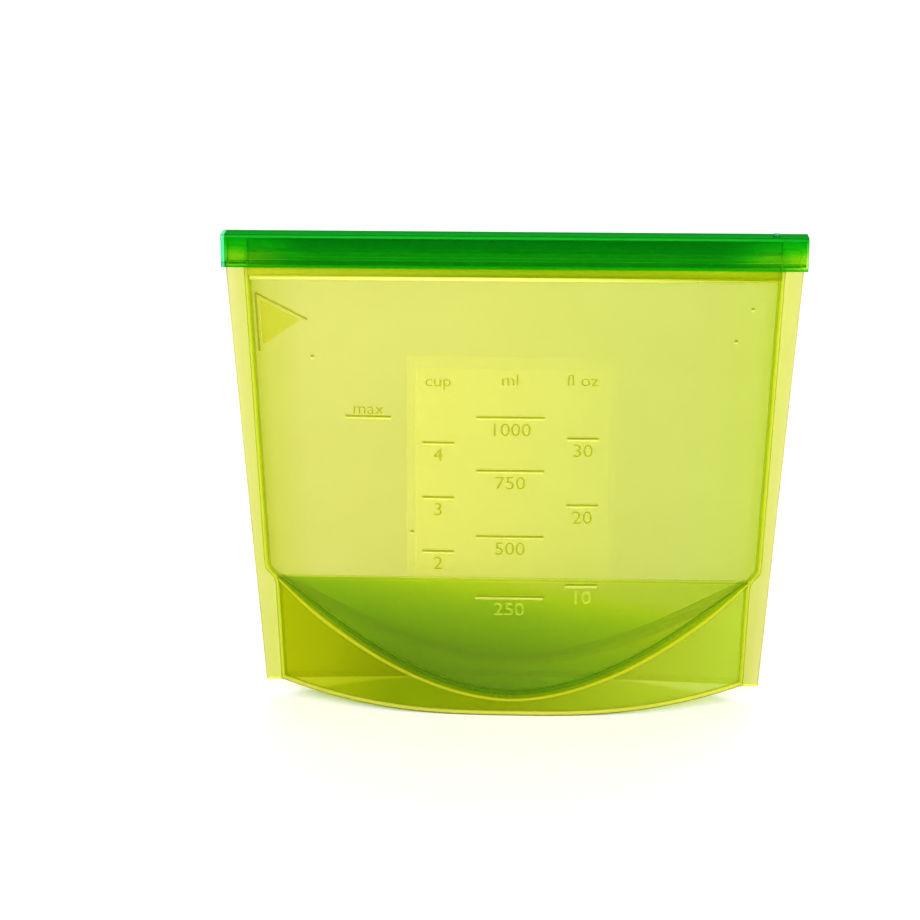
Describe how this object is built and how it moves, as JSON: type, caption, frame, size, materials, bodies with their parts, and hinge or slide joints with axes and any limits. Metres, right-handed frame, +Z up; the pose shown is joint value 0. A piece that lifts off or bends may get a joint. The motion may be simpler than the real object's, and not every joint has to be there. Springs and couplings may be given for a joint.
{
  "type": "reusable silicone bag",
  "caption": "Stand-up silicone food storage bag with a folded floor, a moulded volume scale and a rigid bar that slides over its lips to close it.",
  "frame": {"origin": "on the resting plane, under the middle of the bar", "axes": "+X along the bar towards its open end, +Y from the front with the scale to the back, +Z up to the bar"},
  "size_m": [0.225, 0.044, 0.1909],
  "materials": {
    "wall_silicone": "frosted, translucent",
    "seam_silicone": "frosted, translucent",
    "lip_silicone": "frosted, translucent",
    "rib_silicone": "satin, translucent",
    "floor_silicone": "frosted, translucent",
    "bar_plastic": "glossy, translucent"
  },
  "bodies": {
    "bag": {"left_side_seam": "seam_silicone", "right_side_seam": "seam_silicone", "front_lip": "lip_silicone", "back_lip": "lip_silicone", "seal_cord": "lip_silicone", "base_floor_fold": "floor_silicone"},
    "front_panel": {"front_wall": "wall_silicone", "front_base_rim": "rib_silicone", "front_floor_seam_rib": "rib_silicone", "slide_direction_arrow": "wall_silicone", "scale_plate": "wall_silicone", "millilitre_scale": "wall_silicone", "cup_scale": "wall_silicone", "fluid_ounce_scale": "wall_silicone", "max_fill_line": "wall_silicone", "moulding_pips": "wall_silicone"},
    "back_panel": {"back_wall": "wall_silicone", "back_base_rim": "rib_silicone", "back_floor_seam_rib": "rib_silicone"},
    "slide_bar": {"slide_bar_channel": "bar_plastic", "slide_bar_end_stop": "bar_plastic", "slide_bar_gate_stub": "bar_plastic"}
  },
  "joints": [
    {"name": "bar_slide", "type": "slide", "parent": "bag", "child": "slide_bar", "axis": [-1, 0, 0], "range_m": [0, 0.235]},
    {"name": "front_wall_swing", "type": "hinge", "parent": "bag", "child": "front_panel", "pos_m": [0, 0, 0.1726], "axis": [-1, 0, 0], "range_deg": [-3, 6], "stiffness_Nm_per_rad": 1.5, "deforming": ["front_wall", "front_base_rim", "front_floor_seam_rib", "base_floor_fold"]},
    {"name": "back_wall_swing", "type": "hinge", "parent": "bag", "child": "back_panel", "pos_m": [0, 0, 0.1726], "axis": [1, 0, 0], "range_deg": [-3, 6], "stiffness_Nm_per_rad": 1.5, "deforming": ["back_wall", "back_base_rim", "back_floor_seam_rib", "base_floor_fold"]}
  ],
  "couplings": [
    {"joint": "back_wall_swing", "follows": "front_wall_swing", "ratio": 1}
  ]
}
